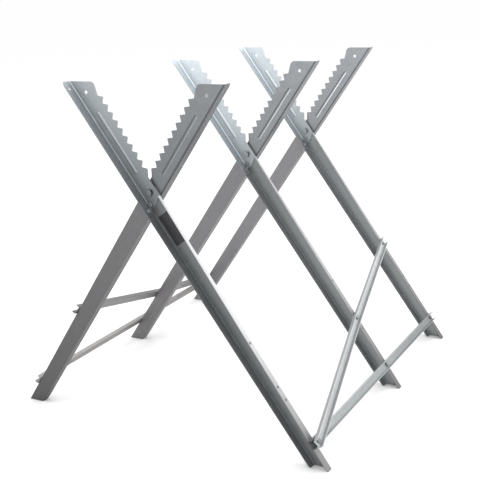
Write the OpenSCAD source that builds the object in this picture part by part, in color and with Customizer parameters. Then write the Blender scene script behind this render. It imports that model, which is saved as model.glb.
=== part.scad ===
// Folding log sawhorse: three crossed frames of pressed steel channel, each with two toothed arms.
// Origin: middle of the footprint, on the floor. X across the stand, Y along the log, Z up.

/* [Stand] */
// Height of the arm tops above the floor
stand_height = 793; // [770:1:820]
// Height of the pivots above the floor
pivot_z = 561.5; // [545:0.5:575]
// Angle of each leg from the vertical, when open
half_angle = 35.3; // [33:0.1:38]
// Distance from the front frame to the middle frame
front_bay = 436; // [400:1:480]
// Distance from the middle frame to the rear frame
rear_bay = 349; // [320:1:400]
// Angle through which the left frames swing to fold the stand
fold_angle = 55; // [45:1:55]

/* [Legs] */
// Thickness of the leg sheet
leg_t = 1.8; // [1.5:0.1:2]
// Distance from the leg's axis to the outer face of its inner flange
leg_edge = 24.5; // [24:0.1:27]
// Distance from the leg's axis to its outer edge at the pivot
edge_top = 17; // [16.5:0.1:19]
// Distance from the leg's axis to its outer edge at the foot
edge_foot = 9.5; // [6:0.1:12]
// Depth of the inner flange just below the pivot
inner_depth = 26; // [25:0.5:27]
// Depth of the inner flange at the foot
inner_depth_foot = 21.5; // [19:0.5:25]
// Depth of the outer flange just below the pivot
outer_depth_top = 8.5; // [7:0.1:10]
// Depth of the outer flange at the foot
outer_depth_foot = 20; // [17:0.5:23]
// Inside radius of every bend
bend_r = 0.5; // [0.3:0.1:1]
// How far the leg's rounded end reaches above the pivot
leg_top = 15.5; // [14:0.5:18]
// Distance below the pivot at which the outer flange starts
outer_start = 17.5; // [17:0.1:22]
// Distance below the pivot at which the inner flange starts
inner_start = 6; // [0:0.5:10]
// Radius of the flange corners at the foot
foot_r = 7; // [2:0.5:8]

/* [Arms] */
// Thickness of the arm sheet
arm_t = 1.8; // [1.5:0.1:2]
// Distance from one tooth to the next
tooth_pitch = 20; // [18:0.5:21]
// Depth of the teeth
tooth_depth = 10; // [6:0.5:12]
// Distance from the arm's axis to the lowest tooth tip
tooth_line = 27.4; // [26:0.1:29]
// How much farther out each higher tooth tip stands
tooth_rise = 0.35; // [0:0.05:0.4]
// Distance above the pivot of the lowest tooth tip, along the arm
first_tooth = 43.5; // [40:0.5:50]
// Length of the arm's plain end above its teeth
plain_end = 62; // [56:1:75]
// Distance from the stand's middle plane to the inner top corner of each arm
top_corner_x = 126; // [124:0.5:130]
// Radius of the arm's inner top corner
top_corner_r = 12; // [3:0.5:14]
// Depth of the arm's flange
arm_depth = 28.5; // [26:0.5:32]
// Depth of the arm's flange at its very top
arm_depth_top = 24; // [20:0.5:26]
// Length over which the flange is cut away at its top
top_taper = 8; // [6:0.5:12]
// How far the arm's flange reaches below the pivot, as a tab along the leg's inner flange
tab_end = 44; // [43:0.5:46]
// Radius of the tab's free corner
tab_r = 8; // [3:0.5:10]
// How far the arm's plate reaches below the pivot, around the stop bolt
plate_end = 30; // [29:0.5:31]
// Width of the pressed rib
rib_w = 8; // [6:0.2:9]
// Height of the pressed rib
rib_h = 2; // [1.2:0.1:2.4]
// Distance above the pivot of the rib's lower end
rib_low = 50; // [50:1:80]
// Distance of the rib's upper end below the arm's top
rib_drop = 93; // [80:1:120]
// Diameter of the hole near the arm's top
plate_hole_d = 8; // [6:0.5:10]
// Distance of that hole below the arm's top
plate_hole_drop = 44; // [36:0.5:50]
// Diameter of the hole near the top of the flange
flange_hole_d = 6.5; // [5:0.5:7]
// Distance of the flange hole below the arm's top
flange_hole_drop = 19.5; // [14:0.5:25]
// Distance of the flange hole from the frame's middle plane
flange_hole_depth = 18; // [14:0.5:20]

/* [Braces] */
// Thickness of the brace sheet
brace_t = 1.5; // [1:0.1:2]
// Width of the braces
brace_w = 20; // [19:0.5:24]
// Depth of the braces over their lips
brace_lip = 11; // [9:0.5:12]
// How far the lower brace sticks out past its bolt at the fork
lower_overhang = 16; // [13:0.5:20]
// How far the lower brace sticks out past its bolt at the other end
lower_far_overhang = 11; // [9:0.5:20]
// How far the diagonal brace sticks out past its end bolts
diagonal_overhang = 12.5; // [11:0.5:16]
// Distance from the foot to the lower brace's hole, along the flange
lower_hole = 67; // [62:0.5:85]
// Distance from the foot to the left diagonal's middle hole
left_middle_hole = 172.5; // [160:0.5:180]
// Distance from the foot to the right diagonal's middle hole
right_middle_hole = 204; // [195:0.5:220]
// Distance from the foot to the diagonals' upper hole
upper_hole = 312; // [295:0.5:325]
// Distance of the brace holes from the frame's middle plane
hole_depth = 10; // [9:0.1:11]

/* [Fasteners] */
// Diameter of the pivot bolts
pivot_d = 8; // [7:0.5:8]
// Width of the pivot bolts' heads across flats
pivot_flats = 13; // [12:0.5:14]
// Diameter of the small bolts
bolt_d = 6; // [5:0.5:6]
// Width of the small bolts' heads across flats
bolt_flats = 10; // [9:0.5:10]
// Distance from the pivot to the stop bolt
stop_radius = 26.3; // [25.5:0.1:27]
// Distance of the flange bolt below the pivot
flange_bolt_at = 33; // [32:0.1:34]
// Distance of the flange bolt from the frame's middle plane
flange_bolt_depth = 18; // [17.5:0.1:18.5]
// Thickness of the spacer between the two webs of a frame
spacer_t = 1; // [0.8:0.1:2]
// Outside diameter of the spacer
spacer_d = 24; // [18:1:30]

/* [Label] */
// Length of the blank label
label_l = 74; // [40:1:90]
// Width of the blank label
label_w = 29; // [15:0.5:29]
// Distance of the label's upper end below the pivot
label_at = 53; // [46:1:100]

/* [Hidden] */
$fn = 48;

// Widest angle between two points of a rounded corner
arc_step = 12;

// Clearances
run_gap = 0.08;
slide_gap = 0.3;
seat_gap = 0.1;
hole_gap = 0.2;
lean_gap = 0.2;

// Places of the three frames along Y
front_y = -(front_bay + rear_bay) / 2;
middle_y = front_y + front_bay;
rear_y = (front_bay + rear_bay) / 2;
frames_y = [front_y, middle_y, rear_y];

// Sheet layers of one frame, measured from its middle plane
web_z = (spacer_t + slide_gap) / 2;
plate_z = web_z + leg_t;
head_z = plate_z + arm_t;

// Leg and arm shapes in the member's frame: X down the leg from the pivot, Y to its outer edge,
// Z away from the frame's middle plane
leg_length = pivot_z / cos(half_angle);
taper = atan((edge_top - edge_foot) / leg_length);
leg_bend = bend_r + leg_t;
arm_bend = bend_r + arm_t;
arm_edge = leg_edge - leg_t - seat_gap;
top_z = stand_height - pivot_z;
arm_top = (top_z + arm_edge * sin(half_angle)) / cos(half_angle);
inner_foot = (pivot_z - leg_edge * sin(half_angle)) / cos(half_angle);
outer_foot = (pivot_z + edge_foot * sin(half_angle)) / cos(half_angle);
hole_1 = outer_foot - upper_hole;
hole_2 = outer_foot - right_middle_hole;
hole_3 = outer_foot - left_middle_hole;
hole_4 = outer_foot - lower_hole;
tooth_count = floor((arm_top - plain_end - first_tooth) / tooth_pitch) + 1;
plate_hole_at = arm_top - plate_hole_drop;
flange_hole_at = arm_top - flange_hole_drop;
rib_high = arm_top - rib_drop;
past_foot = outer_foot - inner_foot;
past_top = arm_bend;
inner_chamfer = 18;
chamfer_r = 6;
web_corner_r = 15;
gusset_r = 5;
tip_edge = -9;
tip_run = 1.5;
tip_r = 8;
tab_foot = 4;
tab_foot_r = 3;
taper_r = 12;
top_r = 6;
rib_line = -2;
brace_bend = bend_r + brace_t;
knee_ahead = 14;
knee_lap = 3;
label_line = -2.5;
label_r = 3;
label_t = 0.3;

// How far a cutting shape reaches past the faces it cuts
cut_over = 1;

// Fasteners
pivot_bore_r = pivot_d / 2 + run_gap;
bolt_hole_r = bolt_d / 2 + hole_gap;
pivot_head_h = 5.3;
pivot_nut_h = 8;
bolt_head_h = 4;
button_d = 12;
button_h = 2.2;
bolt_nut_h = 5;
thread_out = 3;
short_out = 1.5;
clamped = leg_t + seat_gap + arm_t;
slot_r = bolt_d / 2 + slide_gap;

// Chamfer of the heads and nuts: radius of its rim as a share of the flats, and its slope
hex_rim = 0.475;
hex_slope = 30;

// Place of a point given across the stand and above the pivot, in a member's frame
function in_member(x, z) = [
    x * sin(half_angle) - z * cos(half_angle),
    x * cos(half_angle) + z * sin(half_angle)
];

// Distance of the leg's outer edge from its axis
function edge_at(x) = edge_top - x * tan(taper);

function unit(v) = v / norm(v);

// Points of the arc that rounds corner b of the path a, b, c with radius r, arc_step apart at most
function arc_corner(a, b, c, r) =
    r <= 0 ? [b] :
    let (
        to_a = unit(a - b),
        to_c = unit(c - b),
        half = acos(to_a * to_c) / 2,
        centre = b + unit(to_a + to_c) * r / sin(half),
        start = b + to_a * r / tan(half) - centre,
        from = atan2(start.y, start.x),
        turn = (180 - 2 * half) * (cross(b - a, c - b) > 0 ? 1 : -1),
        steps = max(2, ceil(abs(turn) / arc_step))
    )
    [for (i = [0:steps]) centre + r * [cos(from + turn * i / steps), sin(from + turn * i / steps)]];

// Outline of a list of [x, y, radius] corners
function rounded(corners) =
    let (n = len(corners))
    [for (i = [0:n - 1])
        each arc_corner(
            [corners[(i + n - 1) % n].x, corners[(i + n - 1) % n].y],
            [corners[i].x, corners[i].y],
            [corners[(i + 1) % n].x, corners[(i + 1) % n].y],
            corners[i].z
        )
    ];

// Puts a shape drawn in the member's frame on a right member (turn 0) or a left member (turn 180)
module member(y, turn) {
    translate([0, y, pivot_z]) rotate([0, 0, turn]) rotate([0, 90 - half_angle, 0]) rotate([90, 0, 0])
        children();
}

// Puts a shape on the outer face of all the right or left legs' outer flanges:
// X along the stand from the fork end, Y up the flange, Z outwards
module outer_face(turn) {
    member(0, turn) translate([0, edge_top, 0]) rotate([0, 0, -taper]) rotate([0, 90, 90]) children();
}

// Section of a sheet bent up at its left edge: web along X, flange along Y
module bend_profile(depth, t, outer_r) {
    translate([0, outer_r]) square([t, depth - outer_r]);
    translate([outer_r, outer_r]) intersection() {
        difference() {
            circle(outer_r);
            circle(outer_r - t);
        }
        translate([-outer_r, -outer_r]) square(outer_r);
    }
}

// Runs a section along X from one place to another, its X across and its Y outwards
module run_along(from, to) {
    translate([from, 0, 0]) rotate([90, 0, 90]) linear_extrude(to - from) children();
}

// Draws a side view, along X and Z, through the whole width
module side_view() {
    translate([0, 2 * leg_edge, 0]) rotate([90, 0, 0]) linear_extrude(4 * leg_edge) children();
}

// Points of an arc about a centre
function arc(centre, r, from, to, steps) =
    [for (i = [0:steps]) let (angle = from + (to - from) * i / steps) centre + r * [cos(angle), sin(angle)]];

// Arc slot in which the stop bolt travels, from the open stop to the folded one. Its round ends
// leave out the angle next to each long side, whose points are there already
module stop_slot() {
    from = -half_angle;
    to = from + fold_angle;
    side_steps = 15;
    end_steps = 10;
    left_out = 15;
    polygon(concat(
        arc([0, 0], stop_radius + slot_r, from, to, side_steps),
        arc(stop_radius * [cos(to), sin(to)], slot_r, to + left_out, to + 180 - left_out, end_steps),
        arc([0, 0], stop_radius - slot_r, to, from, side_steps),
        arc(
            stop_radius * [cos(from), sin(from)], slot_r,
            from + 180 + left_out, from + 360 - left_out, end_steps
        )
    ));
}

// Holes on the member's axis: the pivot bore and the stop bolt's hole or slot
module axis_holes(slotted) {
    translate([0, 0, -cut_over]) linear_extrude(head_z + 2 * cut_over) {
        circle(pivot_bore_r);
        if (slotted) {
            stop_slot();
        } else {
            rotate(-half_angle) translate([stop_radius, 0]) circle(bolt_hole_r);
        }
    }
}

// Hole for the bolt that clamps the arm's tab to the leg's inner flange
module flange_bolt_hole() {
    translate([flange_bolt_at, -leg_edge - cut_over, flange_bolt_depth])
        rotate([-90, 0, 0]) cylinder(r = bolt_hole_r, h = clamped + 2 * cut_over);
}

module leg_web() {
    end = outer_foot + past_foot;
    translate([0, 0, web_z]) linear_extrude(leg_t) polygon(rounded([
        [-leg_top, -arm_edge, web_corner_r],
        [inner_start, -arm_edge, 0],
        [inner_start, leg_bend - leg_edge, 0],
        [end, leg_bend - leg_edge, 0],
        [end, edge_at(end) - leg_bend, 0],
        [outer_start, edge_at(outer_start) - leg_bend, 0],
        [outer_start, edge_at(outer_start), 0],
        [-leg_top, edge_at(-leg_top), web_corner_r],
    ]));
}

module leg_inner_flange() {
    intersection() {
        translate([0, -leg_edge, web_z]) run_along(inner_start, inner_foot + past_foot)
            bend_profile(inner_depth - web_z, leg_t, leg_bend);
        side_view() polygon(rounded([
            [inner_start, 0, 0],
            [inner_foot + past_foot, 0, 0],
            [inner_foot + past_foot, inner_depth_foot - 2 * foot_r, 0],
            [inner_foot, inner_depth_foot - 2 * foot_r, 0],
            [inner_foot, inner_depth_foot, foot_r],
            [inner_start + inner_chamfer, inner_depth, chamfer_r],
            [inner_start, inner_depth / 2, 0],
        ]));
    }
}

module leg_outer_flange() {
    intersection() {
        translate([0, edge_top, web_z]) rotate([0, 0, -taper])
            run_along(outer_start, outer_foot + past_foot)
                mirror([1, 0, 0]) bend_profile(outer_depth_foot - web_z, leg_t, leg_bend);
        side_view() polygon(rounded([
            [outer_start, 0, 0],
            [outer_foot + past_foot, 0, 0],
            [outer_foot + past_foot, outer_depth_foot - 2 * foot_r, 0],
            [outer_foot, outer_depth_foot - 2 * foot_r, 0],
            [outer_foot, outer_depth_foot, foot_r],
            [outer_start, outer_depth_top, 0],
        ]));
    }
}

module brace_holes() {
    for (at = [hole_1, hole_2, hole_3, hole_4]) {
        translate([0, edge_top, 0]) rotate([0, 0, -taper])
            translate([at, cut_over, hole_depth]) rotate([90, 0, 0])
                cylinder(r = bolt_hole_r, h = leg_t + 2 * cut_over);
    }
}

module leg(y, turn) {
    color("#8f9396") difference() {
        member(y, turn) difference() {
            union() {
                leg_web();
                leg_inner_flange();
                leg_outer_flange();
            }
            axis_holes(turn == 180);
            flange_bolt_hole();
            brace_holes();
        }
        translate([-leg_length, -leg_length, -leg_length]) cube([2 * leg_length, 2 * leg_length, leg_length]);
    }
}

// Outline of the arm's flat plate, with its teeth and the tip that reaches past the stop bolt and
// keeps clear of the bend where the leg's outer flange starts
module arm_outline() {
    left = arm_bend - arm_edge;
    last_tip = -first_tooth;
    first_tip = last_tip - (tooth_count - 1) * tooth_pitch;
    top_line = tooth_line + (tooth_count - 1) * tooth_rise;
    corner = in_member(-top_corner_x, top_z);
    drop = (tooth_line - edge_top) / tan(half_angle);
    tip = [plate_end + tip_run, tip_edge];
    flange_start = [outer_start - seat_gap, edge_at(outer_start) - leg_bend];
    lean = (tip.x - flange_start.x) / (flange_start.y - tip.y);
    polygon(rounded(concat(
        [
            [left * tan(half_angle) - top_z / cos(half_angle), left, 0],
            [corner.x, corner.y, top_corner_r],
        ],
        [for (i = [0:tooth_count - 1]) each [
            [first_tip + (i - 0.5) * tooth_pitch, top_line - i * tooth_rise - tooth_depth, 0],
            [first_tip + i * tooth_pitch, top_line - i * tooth_rise, 0],
        ]],
        [
            [last_tip + drop, edge_top, 0],
            [flange_start.x - (edge_top - flange_start.y) * lean, edge_top, gusset_r],
            [tip.x, tip.y, tip_r],
            [plate_end, left, 0],
        ]
    )));
}

// Long pressed bead, as a round bar with round ends that stands out of a face at the given height
module bead(face_z) {
    r = (rib_w * rib_w / 4 + rib_h * rib_h) / (2 * rib_h);
    round_end = rib_w / 2;
    translate([-rib_high + round_end, rib_line, face_z + rib_h - r]) {
        rotate([0, 90, 0]) cylinder(r = r, h = rib_high - rib_low - 2 * round_end);
        sphere(r);
        translate([rib_high - rib_low - 2 * round_end, 0, 0]) sphere(r);
    }
}

module arm_plate() {
    translate([0, 0, plate_z]) linear_extrude(arm_t) arm_outline();
    intersection() {
        bead(head_z);
        translate([-rib_high - rib_w, rib_line - rib_w, plate_z + arm_t / 2])
            cube([rib_high, 2 * rib_w, arm_t + rib_h]);
    }
}

module arm_flange() {
    intersection() {
        translate([0, -arm_edge, plate_z]) run_along(-arm_top - past_top, tab_end)
            bend_profile(arm_depth - plate_z, arm_t, arm_bend);
        side_view() polygon(rounded([
            [-arm_top - past_top, 0, 0],
            [plate_end, 0, 0],
            [plate_end, plate_z + arm_bend, 0],
            [tab_end, plate_z + arm_bend + tab_foot, tab_foot_r],
            [tab_end, arm_depth, tab_r],
            [-arm_top + top_taper, arm_depth, taper_r],
            [-arm_top, arm_depth_top, top_r],
            [-arm_top - past_top, arm_depth_top, 0],
        ]));
    }
}

module arm_holes(slotted) {
    axis_holes(slotted);
    flange_bolt_hole();
    bead(plate_z);
    translate([-plate_hole_at, 0, 0]) cylinder(d = plate_hole_d, h = head_z + cut_over);
    translate([-flange_hole_at, -arm_edge - cut_over, flange_hole_depth])
        rotate([-90, 0, 0]) cylinder(d = flange_hole_d, h = arm_t + 2 * cut_over);
}

module arm(y, turn) {
    color("#a9aeb2") difference() {
        union() {
            member(y, turn) arm_plate();
            difference() {
                member(y, turn) arm_flange();
                translate([-leg_length, -leg_length, stand_height])
                    cube([2 * leg_length, 2 * leg_length, leg_length]);
            }
        }
        member(y, turn) arm_holes(turn == 180);
    }
}

// Places of the three legs along a side, from the fork end, where their brace bolts go
function stations(turn) =
    turn == 0 ?
    [for (y = frames_y) y - hole_depth] :
    [for (i = [2:-1:0]) -frames_y[i] - hole_depth];

// Section of a brace: X across its face, Y outwards
module brace_profile() {
    for (side = [0, 1]) {
        mirror([side, 0]) translate([-brace_w / 2, 0]) bend_profile(brace_lip, brace_t, brace_bend);
    }
    translate([brace_bend - brace_w / 2, 0]) square([brace_w - 2 * brace_bend, brace_t]);
}

// Bolt hole through a brace's face
module face_hole(at, up, high) {
    translate([at, up, -cut_over]) cylinder(r = bolt_hole_r, h = high + brace_t + 2 * cut_over);
}

module lower_brace(turn) {
    at = stations(turn);
    color("#b9bec4") outer_face(turn) difference() {
        translate([0, -hole_4, 0])
            run_along(at[0] - lower_overhang, at[2] + lower_far_overhang) brace_profile();
        for (x = at) {
            face_hole(x, -hole_4, 0);
        }
    }
}

// Middle bolt of a diagonal, and the knee ahead of it where the brace meets the leg
function middle_bolt(turn) = [stations(turn)[1], turn == 0 ? -hole_2 : -hole_3];
function last_bolt(turn) = [stations(turn)[2], -hole_1];
function fork_bolt(turn) = [stations(turn)[0], -hole_4];
function knee(turn) = middle_bolt(turn) + unit(middle_bolt(turn) - last_bolt(turn)) * knee_ahead;

// Height at which the diagonal's face stands over the leg at the fork, so that it clears the lower
// brace's lip where it leaves it
function fork_height(turn) =
    let (
        run = knee(turn) - fork_bolt(turn),
        heading = atan2(run.y, run.x),
        leaves = brace_w / 2 * (1 + cos(heading)) / sin(heading)
    )
    (brace_lip + seat_gap) / (1 - leaves / norm(run));

module diagonal_brace(turn) {
    start = fork_bolt(turn);
    run = knee(turn) - start;
    rest = last_bolt(turn) - knee(turn);
    high = fork_height(turn);
    color("#c3c8ce") outer_face(turn) difference() {
        union() {
            translate([start.x, start.y, high])
                rotate([0, atan2(high, norm(run)), atan2(run.y, run.x)])
                    run_along(-diagonal_overhang, norm([norm(run), high]) + knee_lap) brace_profile();
            translate([knee(turn).x, knee(turn).y, 0]) rotate([0, 0, atan2(rest.y, rest.x)])
                run_along(-knee_lap, norm(rest) + diagonal_overhang) brace_profile();
        }
        face_hole(start.x, start.y, high);
        face_hole(middle_bolt(turn).x, middle_bolt(turn).y, 0);
        face_hole(last_bolt(turn).x, last_bolt(turn).y, 0);
    }
}

// Hexagonal body with chamfered corners at its top, and at its foot too for a nut
module hex_body(flats, h, both) {
    rim = hex_rim * flats;
    widest = rim + h / tan(hex_slope);
    intersection() {
        cylinder(r = flats / sqrt(3), h = h, $fn = 6);
        cylinder(r1 = widest, r2 = rim, h = h);
        if (both) {
            cylinder(r1 = rim, r2 = widest, h = h);
        }
    }
}

// Bolt with its head standing on the zero plane and its shank below
module bolt(d, flats, head_h, reach) {
    hex_body(flats, head_h, false);
    translate([0, 0, -reach]) cylinder(d = d, h = reach + head_h / 2);
}

// Bolt with a low round head
module button_bolt(d, head_d, head_h, reach) {
    r = (head_d * head_d / 4 + head_h * head_h) / (2 * head_h);
    intersection() {
        translate([0, 0, head_h - r]) sphere(r);
        cylinder(d = head_d + cut_over, h = head_h + cut_over);
    }
    translate([0, 0, -reach]) cylinder(d = d, h = reach + head_h / 2);
}

// Nut hanging below the zero plane
module nut(d, flats, h) {
    translate([0, 0, -h]) difference() {
        hex_body(flats, h, true);
        translate([0, 0, -cut_over]) cylinder(r = d / 2 + run_gap, h = h + 2 * cut_over);
    }
}

module pivot_bolt(y) {
    color("#d0d3d5") member(y, 0) translate([0, 0, head_z])
        bolt(pivot_d, pivot_flats, pivot_head_h, 2 * head_z + slide_gap + pivot_nut_h + thread_out);
}

module pivot_nut(y) {
    color("#c4c7c9") member(y, 0) translate([0, 0, -head_z - slide_gap])
        nut(pivot_d, pivot_flats, pivot_nut_h);
}

module pivot_spacer(y) {
    color("#b0b3b5") member(y, 0) translate([0, 0, web_z - spacer_t]) difference() {
        cylinder(d = spacer_d, h = spacer_t);
        translate([0, 0, -cut_over]) cylinder(r = pivot_bore_r, h = spacer_t + 2 * cut_over);
    }
}

// Puts a shape on the stop bolt's axis
module on_stop(y) {
    member(y, 0) rotate([0, 0, -half_angle]) translate([stop_radius, 0, 0])
        rotate([0, 0, half_angle]) children();
}

module stop_bolt(y) {
    color("#d0d3d5") on_stop(y) translate([0, 0, head_z])
        bolt(bolt_d, bolt_flats, bolt_head_h, 2 * head_z + slide_gap + bolt_nut_h + short_out);
}

module stop_nut(y) {
    color("#c4c7c9") on_stop(y) translate([0, 0, -head_z - slide_gap]) nut(bolt_d, bolt_flats, bolt_nut_h);
}

// Puts a shape on the outer face of the leg's inner flange at each frame, its Z out of the channel
module on_flanges(turn) {
    for (y = frames_y) {
        member(y, turn) translate([flange_bolt_at, -leg_edge, flange_bolt_depth])
            rotate([90, 0, 0]) children();
    }
}

// Low round heads outside the channels and nuts inside them
module arm_bolts(turn) {
    color("#d0d3d5") on_flanges(turn)
        button_bolt(bolt_d, button_d, button_h, clamped + bolt_nut_h + short_out);
}

module arm_nuts(turn) {
    color("#c4c7c9") on_flanges(turn) translate([0, 0, -clamped]) nut(bolt_d, bolt_flats, bolt_nut_h);
}

// Places of a side's brace bolts: along, up, and height of the face under the head
function brace_bolts_at(turn) = [
    [fork_bolt(turn).x, fork_bolt(turn).y, fork_height(turn) + brace_t + lean_gap],
    [stations(turn)[1], -hole_4, brace_t],
    [stations(turn)[2], -hole_4, brace_t],
    [middle_bolt(turn).x, middle_bolt(turn).y, brace_t],
    [last_bolt(turn).x, last_bolt(turn).y, brace_t],
];

module brace_bolts(turn) {
    color("#d0d3d5") outer_face(turn) {
        for (p = brace_bolts_at(turn)) {
            translate(p) bolt(bolt_d, bolt_flats, bolt_head_h, p.z + leg_t + bolt_nut_h + thread_out);
        }
    }
}

module brace_nuts(turn) {
    color("#c4c7c9") outer_face(turn) {
        for (p = brace_bolts_at(turn)) {
            translate([p.x, p.y, -leg_t]) nut(bolt_d, bolt_flats, bolt_nut_h);
        }
    }
}

module blank_label() {
    color("#2a2c2e") member(front_y, 0) translate([0, 0, plate_z]) linear_extrude(label_t) polygon(rounded([
        [label_at, label_line - label_w / 2, label_r],
        [label_at + label_l, label_line - label_w / 2, label_r],
        [label_at + label_l, label_line + label_w / 2, label_r],
        [label_at, label_line + label_w / 2, label_r],
    ]));
}

leg(front_y, 0);  // front_right_leg
leg(middle_y, 0);  // middle_right_leg
leg(rear_y, 0);  // rear_right_leg
leg(front_y, 180);  // front_left_leg
leg(middle_y, 180);  // middle_left_leg
leg(rear_y, 180);  // rear_left_leg
arm(front_y, 0);  // front_left_arm
arm(middle_y, 0);  // middle_left_arm
arm(rear_y, 0);  // rear_left_arm
arm(front_y, 180);  // front_right_arm
arm(middle_y, 180);  // middle_right_arm
arm(rear_y, 180);  // rear_right_arm
lower_brace(0);  // right_lower_brace
diagonal_brace(0);  // right_diagonal_brace
lower_brace(180);  // left_lower_brace
diagonal_brace(180);  // left_diagonal_brace
pivot_bolt(front_y);  // front_pivot_bolt
pivot_bolt(middle_y);  // middle_pivot_bolt
pivot_bolt(rear_y);  // rear_pivot_bolt
pivot_nut(front_y);  // front_pivot_nut
pivot_nut(middle_y);  // middle_pivot_nut
pivot_nut(rear_y);  // rear_pivot_nut
pivot_spacer(front_y);  // front_pivot_spacer
pivot_spacer(middle_y);  // middle_pivot_spacer
pivot_spacer(rear_y);  // rear_pivot_spacer
stop_bolt(front_y);  // front_stop_bolt
stop_bolt(middle_y);  // middle_stop_bolt
stop_bolt(rear_y);  // rear_stop_bolt
stop_nut(front_y);  // front_stop_nut
stop_nut(middle_y);  // middle_stop_nut
stop_nut(rear_y);  // rear_stop_nut
arm_bolts(0);  // left_arm_bolts
arm_nuts(0);  // left_arm_nuts
arm_bolts(180);  // right_arm_bolts
arm_nuts(180);  // right_arm_nuts
brace_bolts(0);  // right_brace_bolts
brace_nuts(0);  // right_brace_nuts
brace_bolts(180);  // left_brace_bolts
brace_nuts(180);  // left_brace_nuts
blank_label();
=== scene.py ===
"""Looks for the folding log sawhorse: galvanised steel, zinc fasteners and a plain dark label."""

import math
from collections import namedtuple

import bpy
from mathutils import Matrix, Vector

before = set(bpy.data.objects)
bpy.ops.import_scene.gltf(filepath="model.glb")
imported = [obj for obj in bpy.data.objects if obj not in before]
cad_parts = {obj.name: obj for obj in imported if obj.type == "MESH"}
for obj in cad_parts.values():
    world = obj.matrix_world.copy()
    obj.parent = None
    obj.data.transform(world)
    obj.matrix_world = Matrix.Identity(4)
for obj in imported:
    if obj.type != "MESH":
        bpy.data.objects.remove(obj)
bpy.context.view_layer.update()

# Places in metres that the steel's tones follow, from the solids
HALF_ANGLE = math.radians(35.3)  # lean of the legs and arms from upright
PIVOT_HEIGHT = 0.5615
FRAME_PLACES = (-0.3925, 0.0435, 0.3925)  # front, middle and rear frame along the log
LEG_LENGTH = 0.688  # from the pivot to the floor
LEG_EDGE_TOP = 0.017  # from the leg's line to its outer edge, at the pivot
LEG_TAPER = 0.0109  # how much closer that edge comes with each metre down the leg

# Stretches, measured down from the pivot, over which a member's painted light and shade change
LEG_STRETCH = (0.0, LEG_LENGTH)
ARM_STRETCH = (-0.29, 0.04)
OUTER_FLANGE_LIGHT_FADE = (LEG_LENGTH * 0.5, LEG_LENGTH)

# Limits between which a tone sets in, in metres or as a part of the surface's normal
OUTER_FLANGE_FROM = (-0.0026, -0.0020)  # place across a leg, measured from its outer edge
INNER_FLANGE_BLEND = 0.0005  # width across a member
BEND_CORE = 0.6  # part of the bend line's width that has its whole colour
PLATE_NORMAL = (0.3, 0.6)  # along the log: less on flanges, more on plates and on the rib's walls
UPPER_LIP_NORMAL = (0.64, 0.72)  # upwards
CUT_END_NORMAL = (0.85, 0.92)  # along the log
# A brace's worn edges with their painted highlight fade out towards its cut ends
PLAIN_EDGE_NORMAL = (0.3, 0.9)  # along the log: a brace's edges are less worn towards its cut ends
OUTWARD_NORMAL = (0.90, 0.97)  # towards the upper side of the legs
BOLT_SIDE_NORMAL = (0.3, 0.6)  # towards +X

# Patterns of the zinc coat
SPANGLE_SCALE = 85.0
FINE_SPANGLE = 2.7  # how much finer the small crystals are
BIG_SPANGLE_SHARE = 0.65
CLOUDS = {"Scale": 9.0, "Detail": 5.0, "Roughness": 0.6}
STREAKS = {"Scale": 1.0, "Detail": 3.0, "Roughness": 0.55}
STREAK_SCALE = (260.0, 260.0, 9.0)
GRAIN = {"Scale": 1400.0, "Detail": 2.0}

# Change in the steel's tone either way that each pattern makes
SPANGLE_SWING = 0.06
CLOUD_SWING = 0.12
STREAK_SWING = 0.06
GRAIN_SWING = 0.03

# Wear and a painted highlight on the edges, painted shade in the folds, and relief of the steel
CLOUD_MIDDLE = 0.5
EDGE_RADIUS = 0.0005
EDGE_GAIN = 4.0
WORN_AND_HIGHLIGHT_TONE = 1.35
EDGE_CLOUD_SWING = 0.6
FOLD_REACH = 0.008
FOLD_SHADE_TONE = 0.62
FOLD_SHADE_CLOUD_SWING = 0.4
BRACE_FOLD_SHADE = 0.3
RIB_SHADE_DARKEST = 0.6
CRYSTAL_GLOSS_SWING = 0.06
CLOUD_GLOSS_SWING = 0.05
CRYSTAL_HEIGHT = 0.5
GRAIN_HEIGHT = 0.5
STREAK_HEIGHT = 0.6
STEEL_RELIEF = {"Strength": 0.25, "Distance": 0.00006}
MEMBER_METALLIC = 0.45

# Zinc plating of the fasteners
ZINC_CLOUDS = {"Scale": 160.0, "Detail": 4.0}
ZINC_GRAIN = {"Scale": 2600.0, "Detail": 2.0}
ZINC_WARM = (1.02, 1.00, 0.93)
ZINC_COOL = (0.90, 0.96, 1.04)
ZINC_COOL_FROM = (0.35, 0.65)
ZINC_ROUGHNESS = 0.36
ZINC_GLOSS_SWING = 0.1
ZINC_METALLIC = 0.6
ZINC_EDGE_RADIUS = 0.0004
ZINC_FOLD_REACH = 0.004
ZINC_FOLD_SHADE = (0.10, 0.10, 0.10)
ZINC_FOLD_SHADE_SHARE = 0.6
ZINC_RELIEF = {"Strength": 0.2, "Distance": 0.00004}

# Film of the label
FILM_CLOUDS = {"Scale": 60.0, "Detail": 6.0}
FILM_GRAIN = {"Scale": 3000.0, "Detail": 2.0}
FILM_MARK_TONE = 1.7
FILM_MARKS_FROM = (0.40, 0.75)
FILM_ROUGHNESS = 0.42
FILM_GLOSS_SWING = 0.1
FILM_RELIEF = {"Strength": 0.15, "Distance": 0.00004}

# Floor and world
FLOOR_SIZE = 60
FLOOR_MOTTLE = {"Scale": 3.0, "Detail": 4.0}
FLOOR_DULLER = (0.98, 0.98, 0.98)
WHITE = (1.0, 1.0, 1.0)

# Camera, as found from the photograph's perspective
CAMERA_PLACE = (1.11715, -2.00433, 1.01496)
CAMERA_YAW = math.radians(29.32)
CAMERA_PITCH = math.radians(16.22)
CAMERA_ROLL = math.radians(2.45)
CAMERA_LENS_MM = 70.51
SENSOR_MM = 36.0

# Rays that each rounded edge and each fold is looked up with
LOOKUP_SAMPLES = 4

# Tones are factors on a colour, and those in threes are the painted light and shade of the front,
# middle and rear frames
EVEN = (1.0, 1.0, 1.0)
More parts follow.
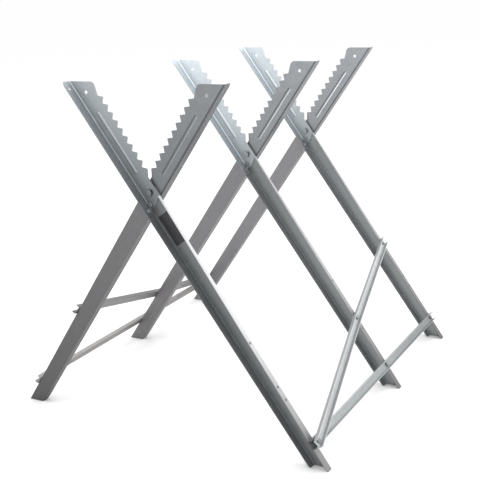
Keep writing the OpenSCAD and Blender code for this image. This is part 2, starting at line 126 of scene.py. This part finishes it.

# Painted light and shade that a material gives one feature. Places are across a member, out of its
# frame or along the log
BendShading = namedtuple("BendShading", "across out width colour")
InnerFlangeShade = namedtuple("InnerFlangeShade", "across tones")
OuterFlangeLight = namedtuple("OuterFlangeLight", "at_pivot at_foot tones")
ForkShadow = namedtuple("ForkShadow", "place length tone")
OutwardLight = namedtuple("OutwardLight", "side tone")

# Patterns of one material's zinc coat
Coat = namedtuple("Coat", "crystals clouds streaks grain")


class Nodes:
    """Short way to build a node tree, where a socket can stand for any number or colour."""

    def __init__(self, tree):
        self.tree = tree
        tree.nodes.clear()

    def add(self, kind, inputs=None, **settings):
        node = self.tree.nodes.new(kind)
        for key, value in settings.items():
            setattr(node, key, value)
        for key, value in (inputs or {}).items():
            self.put(node.inputs[key], value)
        return node

    def put(self, socket, value):
        if isinstance(value, bpy.types.NodeSocket):
            self.tree.links.new(value, socket)
        elif socket.type == "RGBA" and len(value) == 3:
            socket.default_value = (*value, 1)
        else:
            socket.default_value = value

    def math(self, operation, a, b=0.0, c=0.0, clamp=False):
        node = self.add("ShaderNodeMath", {0: a, 1: b, 2: c}, operation=operation, use_clamp=clamp)
        return node.outputs[0]

    def times(self, value, *factors):
        """Product of values."""
        for factor in factors:
            value = self.math("MULTIPLY", value, factor)
        return value

    def total(self, first, *others):
        """Sum of (value, share) pairs, each value times its share."""
        result = self.math("MULTIPLY", *first)
        for pair in others:
            result = self.math("ADD", result, self.math("MULTIPLY", *pair))
        return result

    def about(self, value, centre, swing, clamp=False):
        """Value from 0 to 1 spread to either side of the centre."""
        return self.math("MULTIPLY_ADD", value, 2 * swing, centre - swing, clamp=clamp)

    def grade(self, value, low, high, at_low, at_high):
        """Straight change from at_low to at_high while value goes from low to high."""
        node = self.add("ShaderNodeMapRange", {0: value, 1: low, 2: high, 3: at_low, 4: at_high})
        return node.outputs[0]

    def mask(self, factor, low, high):
        """Colour ramp from black at low to white at high."""
        node = self.add("ShaderNodeValToRGB", {0: factor})
        for element, place in zip(node.color_ramp.elements, (low, high)):
            element.position = place
        return node.outputs[0]

    def mix(self, factor, a, b, blend="MIX"):
        """Mix of two colours, which are the node's sockets 6 and 7."""
        node = self.add("ShaderNodeMix", data_type="RGBA", blend_type=blend)
        self.put(node.inputs["Factor"], factor)
        self.put(node.inputs[6], a)
        self.put(node.inputs[7], b)
        return node.outputs[2]

    def shade(self, colour, level):
        """Colour times a tone."""
        grey = self.add("ShaderNodeCombineColor", {0: level, 1: level, 2: level}).outputs[0]
        return self.mix(1.0, colour, grey, "MULTIPLY")

    def coordinate(self, kind):
        return self.add("ShaderNodeTexCoord").outputs[kind]

    def split(self, vector):
        return self.add("ShaderNodeSeparateXYZ", {0: vector}).outputs

    def dot(self, a, b):
        return self.add("ShaderNodeVectorMath", {0: a, 1: b}, operation="DOT_PRODUCT").outputs[1]

    def noise(self, where, look):
        return self.add("ShaderNodeTexNoise", {"Vector": where, **look}).outputs[0]

    def patches(self, where, scale):
        """Flat patches of random tone, as three sets of tones."""
        cells = self.add("ShaderNodeTexVoronoi", {"Vector": where, "Scale": scale})
        return self.add("ShaderNodeSeparateColor", {0: cells.outputs["Color"]}).outputs

    def rounded(self, radius):
        """Normal of the surface with its edges rounded."""
        return self.add("ShaderNodeBevel", {"Radius": radius}, samples=LOOKUP_SAMPLES).outputs[0]

    def fold(self, reach):
        """How deep in a fold a point lies, from 0 to 1."""
        node = self.add("ShaderNodeAmbientOcclusion", {"Distance": reach}, samples=LOOKUP_SAMPLES)
        return self.math("SUBTRACT", 1.0, node.outputs["AO"])

    def relief(self, height, look, normal=None):
        inputs = {"Height": height, **look}
        if normal is not None:
            inputs["Normal"] = normal
        return self.add("ShaderNodeBump", inputs).outputs[0]

    def surface(self, kind, inputs):
        """Shader joined to the material's output."""
        shader = self.add(kind, inputs)
        self.add("ShaderNodeOutputMaterial", {"Surface": shader.outputs[0]})


def new_material(name):
    """Material with an empty node tree, its builder, and the place of a point at rest."""
    material = bpy.data.materials.new(name)
    material.use_nodes = True
    n = Nodes(material.node_tree)
    return material, n, n.coordinate("Object")


def member_places(n, where, side):
    """Place down a member from its pivot, up across it, and out of its frame's middle plane."""
    parts = n.split(where)
    sine, cosine = math.sin(HALF_ANGLE), math.cos(HALF_ANGLE)
    x = n.math("MULTIPLY", parts[0], side)
    z = n.math("SUBTRACT", parts[2], PIVOT_HEIGHT)
    down = n.math("SUBTRACT", n.math("MULTIPLY", x, sine), n.math("MULTIPLY", z, cosine))
    across = n.total((x, cosine), (z, sine))
    offsets = [n.math("ABSOLUTE", n.math("SUBTRACT", parts[1], y)) for y in FRAME_PLACES]
    out = n.math("MINIMUM", n.math("MINIMUM", offsets[0], offsets[1]), offsets[2])
    return down, across, out


def on_bend(n, across, out, bend):
    """Mask of the line along a member's bend."""
    a = n.math("POWER", n.math("SUBTRACT", across, bend.across), 2.0)
    b = n.math("POWER", n.math("SUBTRACT", out, bend.out), 2.0)
    distance = n.math("SQRT", n.math("ADD", a, b))
    return n.grade(distance, bend.width * BEND_CORE, bend.width, 1.0, 0.0)


def facing_upper(n, side):
    """How far a surface faces a member's upper side, with side as in member_steel."""
    upper = (side * math.cos(HALF_ANGLE), 0, math.sin(HALF_ANGLE))
    return n.dot(n.coordinate("Normal"), upper)


def rib_walls(n, side):
    """How far a slanting surface, such as a wall of the rib, faces the member's upper side."""
    endwise = n.math("ABSOLUTE", n.split(n.coordinate("Normal"))[1])
    return n.times(facing_upper(n, side), n.grade(endwise, *PLATE_NORMAL, 0.0, 1.0))


def by_frame(n, where, tones):
    """Tone of the frame that a point belongs to, from the front to the rear."""
    place = n.split(where)[1]
    front, middle, rear = FRAME_PLACES
    before = n.grade(place, front, middle, tones[0], tones[1])
    behind = n.grade(place, middle, rear, 1.0, tones[2] / tones[1])
    return n.times(before, behind)


def zinc_coat(n, where, side=0):
    """Crystals in two sizes, broad clouds of duller zinc, streaks and grain.

    The streaks run along members, where side is 1 or -1, and upright on braces, where it is 0.
    """
    turned = n.add("ShaderNodeMapping", {"Vector": where, "Rotation": (0, side * HALF_ANGLE, 0)})
    thin = n.add("ShaderNodeMapping", {"Vector": turned.outputs[0], "Scale": STREAK_SCALE})
    big = n.patches(where, SPANGLE_SCALE)[0]
    small = n.patches(where, SPANGLE_SCALE * FINE_SPANGLE)[1]
    return Coat(
        crystals=n.total((big, BIG_SPANGLE_SHARE), (small, 1.0 - BIG_SPANGLE_SHARE)),
        clouds=n.noise(where, CLOUDS),
        streaks=n.noise(thin.outputs[0], STREAKS),
        grain=n.noise(where, GRAIN),
    )


def coat_level(n, coat, spangle_swing=SPANGLE_SWING):
    """Tone that the coat's patterns make together."""
    return n.times(
        n.about(coat.crystals, 1.0, spangle_swing),
        n.about(coat.clouds, 1.0, CLOUD_SWING),
        n.about(coat.streaks, 1.0, STREAK_SWING),
        n.about(coat.grain, 1.0, GRAIN_SWING),
    )


def outward_light_tone(n, outward_light):
    """Tone of painted light on the surfaces that face away from the stand on one side, and 1
    elsewhere.

    They are the upper sides of the legs there, and of the braces on them.
    """
    return n.grade(facing_upper(n, outward_light.side), *OUTWARD_NORMAL, 1.0, outward_light.tone)


def weathered_and_shaded(n, colour, base, coat, roughness, metallic, edge_share=1.0, fold_shade_share=1.0):
    """Surface of the steel, with edges painted brighter as wear and as a painted highlight, painted
    shade in the folds, and the coat's relief.
    """
    # Rounded edges catch the light, and their colour is painted a little brighter, as wear and as a
    # painted highlight
    soft = n.rounded(EDGE_RADIUS)
    along = n.dot(soft, n.add("ShaderNodeNewGeometry").outputs["Normal"])
    edge = n.math("MULTIPLY", n.math("SUBTRACT", 1.0, along), EDGE_GAIN, clamp=True)
    wear_and_highlight = n.about(coat.clouds, CLOUD_MIDDLE, EDGE_CLOUD_SWING, clamp=True)
    edge = n.times(edge, wear_and_highlight, edge_share)
    base = n.mix(edge, base, tuple(c * WORN_AND_HIGHLIGHT_TONE for c in colour))

    # Painted shade darkens the folds, in patches
    shade_patches = n.about(coat.clouds, CLOUD_MIDDLE, FOLD_SHADE_CLOUD_SWING)
    fold_shade = n.times(n.math("MULTIPLY", n.fold(FOLD_REACH), shade_patches, clamp=True), fold_shade_share)
    base = n.mix(fold_shade, base, tuple(c * FOLD_SHADE_TONE for c in colour))

    rough = n.about(coat.crystals, roughness, CRYSTAL_GLOSS_SWING)
    rough = n.math("ADD", rough, n.about(coat.clouds, 0.0, CLOUD_GLOSS_SWING))
    height = n.total(
        (coat.crystals, CRYSTAL_HEIGHT), (coat.grain, GRAIN_HEIGHT), (coat.streaks, STREAK_HEIGHT),
    )
    n.surface("ShaderNodeBsdfPrincipled", {
        "Base Color": base, "Metallic": metallic, "Roughness": rough,
        "Normal": n.relief(height, STEEL_RELIEF, soft),
    })


def member_steel(name, colour, roughness, side, stretch, upper_end, lower_end, frames, inner,
                 bend=None, outer=None, rib=None, outward_light=None, spangle_swing=SPANGLE_SWING):
    """Zinc-coated steel of a leg or an arm.

    side is 1 for members that lean as the right legs do and -1 for the others. upper_end is a tone
    and lower_end are tones, at the ends of the stretch, of painted light and shade along the
    member.
    frames are tones of painted light and shade for each frame. inner is painted shade on the flange
    on the member's lower side, bend is a painted highlight along the line where it meets the web or
    plate, with painted shade there on the right arms, and outer is painted light on the flange on a
    leg's upper side. rib is the contrast of painted light and shade on the pressed rib's walls in
    each frame.
    """
    material, n, where = new_material(name)
    coat = zinc_coat(n, where, side)
    down, across, out = member_places(n, where, side)

    plain = colour
    # Painted light on the flange on a leg's upper side: bright near the pivot, fading towards the
    # foot, toned for each frame
    if outer:
        edge_here = n.math("MULTIPLY_ADD", down, -LEG_TAPER, LEG_EDGE_TOP)
        on_flange = n.grade(n.math("SUBTRACT", across, edge_here), *OUTER_FLANGE_FROM, 0.0, 1.0)
        fade = n.grade(down, *OUTER_FLANGE_LIGHT_FADE, 0.0, 1.0)
        tint = n.mix(fade, outer.at_pivot, outer.at_foot)
        plain = n.mix(on_flange, plain, n.shade(tint, by_frame(n, where, outer.tones)))
    # A painted highlight along the bend line, and painted shade there on the right arms
    if bend:
        plain = n.mix(on_bend(n, across, out, bend), plain, bend.colour)

    level = coat_level(n, coat, spangle_swing)
    # Painted light and shade along the member, from upper_end at the top of the stretch to
    # lower_end, toned for each frame
    level = n.times(level, n.grade(down, *stretch, upper_end, by_frame(n, where, lower_end)))
    # Painted light on the rib's walls that face the member's upper side, and painted shade on those
    # that face away
    if rib:
        slope = n.times(rib_walls(n, side), by_frame(n, where, rib))
        level = n.times(level, n.math("MAXIMUM", n.math("ADD", slope, 1.0), RIB_SHADE_DARKEST))
    # Each frame gets its own tone of painted light and shade
    level = n.times(level, by_frame(n, where, frames))
    # Painted shade on the flange on the member's lower side, toned for each frame
    inner_tone = by_frame(n, where, inner.tones)
    level = n.times(
        level, n.grade(across, inner.across - INNER_FLANGE_BLEND, inner.across, inner_tone, 1.0),
    )
    if outward_light:
        level = n.times(level, outward_light_tone(n, outward_light))

    weathered_and_shaded(n, colour, n.shade(plain, level), coat, roughness, MEMBER_METALLIC)
    return material


def brace_steel(name, colour, roughness, metallic, upper_lip_shading, cut_end, frames=EVEN, fork_shadow=None,
                outward_light=None):
    """Zinc-coated steel of a brace.

    upper_lip_shading is the tone of painted light and shade on the lip that faces up the slope, and
    cut_end is the tone of the cut ends. fork is a painted shadow at the front end, under the
    diagonal.
    """
    material, n, where = new_material(name)
    coat = zinc_coat(n, where)
    normal = n.split(n.coordinate("Normal"))
    endwise = n.math("ABSOLUTE", normal[1])

    level = n.times(
        coat_level(n, coat),
        # The lip that faces up gets a tone of painted light and shade, and each frame gets its own
        # tone of painted light and shade
        n.grade(normal[2], *UPPER_LIP_NORMAL, 1.0, upper_lip_shading),
        n.grade(endwise, *CUT_END_NORMAL, 1.0, cut_end),
        by_frame(n, where, frames),
    )
    # Painted shadow at the front end of the lower brace, under the diagonal
    if fork_shadow:
        place = n.split(where)[1]
        level = n.times(level, n.grade(place, fork_shadow.place, fork_shadow.place + fork_shadow.length, fork_shadow.tone, 1.0))
    if outward_light:
        level = n.times(level, outward_light_tone(n, outward_light))

    edge_share = n.grade(endwise, *PLAIN_EDGE_NORMAL, 1.0, 0.0)
    base = n.shade(colour, level)
    weathered_and_shaded(n, colour, base, coat, roughness, metallic, edge_share, BRACE_FOLD_SHADE)
    return material


def zinc(name, colour, frames=EVEN, shaded=1.0):
    """Bright zinc plating on the bolts and nuts, with a faint yellow and blue passivated tint.

    frames are tones of painted light and shade for each frame, and shaded is the tone of painted
    shade on the sides towards +X.
    """
    material, n, where = new_material(name)
    cloud = n.noise(where, ZINC_CLOUDS)
    grain = n.noise(where, ZINC_GRAIN)
    warm = tuple(c * k for c, k in zip(colour, ZINC_WARM))
    cool = tuple(c * k for c, k in zip(colour, ZINC_COOL))
    base = n.mix(n.mask(cloud, *ZINC_COOL_FROM), warm, cool)
    # Painted shade on the sides towards +X, and a tone of painted light and shade for each frame
    towards_x = n.split(n.coordinate("Normal"))[0]
    side_shade = n.grade(towards_x, *BOLT_SIDE_NORMAL, 1.0, shaded)
    base = n.shade(base, n.times(by_frame(n, where, frames), side_shade))
    # Painted shade darkens the folds of the heads and nuts
    fold_shade = n.math("MULTIPLY", n.fold(ZINC_FOLD_REACH), ZINC_FOLD_SHADE_SHARE, clamp=True)
    n.surface("ShaderNodeBsdfPrincipled", {
        "Base Color": n.mix(fold_shade, base, ZINC_FOLD_SHADE),
        "Metallic": ZINC_METALLIC,
        "Roughness": n.about(cloud, ZINC_ROUGHNESS, ZINC_GLOSS_SWING),
        "Normal": n.relief(grain, ZINC_RELIEF, n.rounded(ZINC_EDGE_RADIUS)),
    })
    return material


def film(name, colour):
    """Plain dark plastic film of the blank label, with faint handling marks."""
    material, n, where = new_material(name)
    cloud = n.noise(where, FILM_CLOUDS)
    lighter = tuple(c * FILM_MARK_TONE for c in colour)
    n.surface("ShaderNodeBsdfPrincipled", {
        "Base Color": n.mix(n.mask(cloud, *FILM_MARKS_FROM), colour, lighter),
        "Roughness": n.about(cloud, FILM_ROUGHNESS, FILM_GLOSS_SWING),
        "Normal": n.relief(n.noise(where, FILM_GRAIN), FILM_RELIEF),
    })
    return material


def pale_sheet(name):
    """Nearly white matt floor, with a faint mottle."""
    material, n, where = new_material(name)
    pale = n.mix(n.noise(where, FLOOR_MOTTLE), FLOOR_DULLER, WHITE)
    n.surface("ShaderNodeBsdfDiffuse", {"Color": pale, "Roughness": 0.0})
    return material


def area_lamp(name, place, target, size, power):
    """Soft lamp at a place, turned to the target. Its size is in metres and its power in watts."""
    lamp = bpy.data.lights.new(name, "AREA")
    lamp.shape = "RECTANGLE"
    lamp.size, lamp.size_y = size
    lamp.energy = power
    piece = bpy.data.objects.new(name, lamp)
    piece.location = place
    aim = Vector(target) - Vector(place)
    piece.rotation_euler = aim.to_track_quat("-Z", "Y").to_euler()
    bpy.context.scene.collection.objects.link(piece)


# Legs and arms: right legs and left arms lean one way, left legs and right arms the other
# These are lit and shaded copies of one galvanised steel: each member's colour is painted lighter
# or darker for the light on its side of the stand
right_leg = member_steel(
    "right_leg_steel", colour=(0.202, 0.212, 0.216), roughness=0.42, side=1, stretch=LEG_STRETCH,
    upper_end=1.0, lower_end=(1.06, 1.06, 1.06), frames=(0.88, 1.21, 1.35),
    inner=InnerFlangeShade(across=-0.0223, tones=(0.91, 0.82, 0.80)),
    bend=BendShading(across=-0.0222, out=0.0030, width=0.0018, colour=(0.28, 0.305, 0.325)),
    outer=OuterFlangeLight(
        at_pivot=(0.64, 0.65, 0.66), at_foot=(0.28, 0.28, 0.275), tones=(0.96, 0.42, 0.32),
    ),
)
left_leg = member_steel(
    "left_leg_steel", colour=(0.172, 0.168, 0.173), roughness=0.44, side=-1, stretch=LEG_STRETCH,
    upper_end=1.12, lower_end=(0.56, 0.80, 0.85), frames=(0.82, 1.13, 1.31),
    inner=InnerFlangeShade(across=-0.0240, tones=(0.85, 0.85, 0.66)),
    outward_light=OutwardLight(side=-1, tone=2.3),
)
left_arm = member_steel(
    "left_arm_steel", colour=(0.386, 0.42, 0.442), roughness=0.42, side=1, stretch=ARM_STRETCH,
    upper_end=1.5, lower_end=(0.70, 0.68, 0.68), frames=(0.68, 1.28, 1.20),
    inner=InnerFlangeShade(across=-0.0206, tones=(0.66, 0.66, 0.70)),
    bend=BendShading(across=-0.0204, out=0.0047, width=0.0020, colour=(0.72, 0.78, 0.82)),
    rib=(0.8, 0.8, 0.8), spangle_swing=0.04,
)
right_arm = member_steel(
    "right_arm_steel", colour=(0.298, 0.315, 0.330), roughness=0.42, side=-1, stretch=ARM_STRETCH,
    upper_end=1.15, lower_end=(0.80, 0.80, 0.80), frames=(0.69, 0.95, 1.07),
    inner=InnerFlangeShade(across=-0.0222, tones=(0.53, 0.48, 0.45)),
    bend=BendShading(across=-0.0210, out=0.0028, width=0.0030, colour=(0.18, 0.19, 0.215)),
    rib=(1.6, 3.0, 4.0),
)

# Braces
# The right braces are painted light and the left braces dark, as lit and shaded copies of one
# galvanised steel
right_diagonal = brace_steel(
    "right_diagonal_steel", colour=(0.60, 0.62, 0.625), roughness=0.42, metallic=0.10,
    upper_lip_shading=0.56, cut_end=0.5,
)
right_lower = brace_steel(
    "right_lower_steel", colour=(0.485, 0.515, 0.515), roughness=0.42, metallic=0.10,
    upper_lip_shading=0.72, cut_end=0.35, frames=(1.05, 0.85, 0.59),
    fork_shadow=ForkShadow(place=-0.40, length=0.03, tone=0.35),
)
left_diagonal = brace_steel(
    "left_diagonal_steel", colour=(0.20, 0.194, 0.192), roughness=0.44, metallic=0.3,
    upper_lip_shading=0.95, cut_end=0.8, outward_light=OutwardLight(side=-1, tone=2.5),
)
left_lower = brace_steel(
    "left_lower_steel", colour=(0.225, 0.219, 0.216), roughness=0.44, metallic=0.3,
    upper_lip_shading=1.75, cut_end=0.8, outward_light=OutwardLight(side=-1, tone=2.2),
)

# Fasteners and label
fasteners = zinc("zinc_plating", colour=(0.29, 0.30, 0.32))
# The pivot bolts get painted shade on the front frame and on their sides towards +X
pivot_zinc = zinc(
    "pivot_zinc_plating", colour=(0.29, 0.30, 0.31), frames=(0.62, 1.0, 1.05), shaded=0.2,
)
label = film("label_film", colour=(0.022, 0.022, 0.025))

# Material of each piece by the end of its name. The other pieces are fasteners
MATERIALS = {
    "_right_leg": right_leg,
    "_left_leg": left_leg,
    "_right_arm": right_arm,
    "_left_arm": left_arm,
    "right_diagonal_brace": right_diagonal,
    "right_lower_brace": right_lower,
    "left_diagonal_brace": left_diagonal,
    "left_lower_brace": left_lower,
    "_pivot_bolt": pivot_zinc,
    "blank_label": label,
}
for name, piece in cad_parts.items():
    material = next((m for ending, m in MATERIALS.items() if name.endswith(ending)), fasteners)
    piece.data.materials.clear()
    piece.data.materials.append(material)

# Floor
bpy.ops.mesh.primitive_plane_add(size=FLOOR_SIZE, location=(0, 0, 0))
floor = bpy.context.object
floor.name = "floor"
floor.data.materials.append(pale_sheet("floor"))

# World: an even white light all round
world = bpy.data.worlds.new("studio")
bpy.context.scene.world = world
world.use_nodes = True
n = Nodes(world.node_tree)
background = n.add("ShaderNodeBackground", {"Color": WHITE, "Strength": 1.0})
n.add("ShaderNodeOutputWorld", {"Surface": background.outputs[0]})

# Lamps
area_lamp("softbox_top", place=(1.0, 0.4, 3.4), target=(0, 0, 0.4), size=(2.4, 2.4), power=35)
area_lamp("softbox_left", place=(-2.6, -1.6, 2.4), target=(0, 0, 0.5), size=(1.8, 1.8), power=25)
area_lamp("softbox_behind", place=(1.7, 3.4, 1.8), target=(0, 0, 0.4), size=(2.0, 1.6), power=24)

# Camera
forward = Vector((
    -math.sin(CAMERA_YAW) * math.cos(CAMERA_PITCH),
    math.cos(CAMERA_YAW) * math.cos(CAMERA_PITCH),
    -math.sin(CAMERA_PITCH),
))
level_right = Vector((math.cos(CAMERA_YAW), math.sin(CAMERA_YAW), 0))
level_down = forward.cross(level_right)
right = level_right * math.cos(CAMERA_ROLL) + level_down * math.sin(CAMERA_ROLL)
down = level_down * math.cos(CAMERA_ROLL) - level_right * math.sin(CAMERA_ROLL)
turn = Matrix((right, -down, -forward)).transposed().to_4x4()
lens = bpy.data.cameras.new("camera")
lens.sensor_width = SENSOR_MM
lens.lens = CAMERA_LENS_MM
camera = bpy.data.objects.new("camera", lens)
camera.matrix_world = Matrix.Translation(CAMERA_PLACE) @ turn
bpy.context.scene.collection.objects.link(camera)
bpy.context.scene.camera = camera
bpy.context.scene.view_settings.view_transform = "Standard"
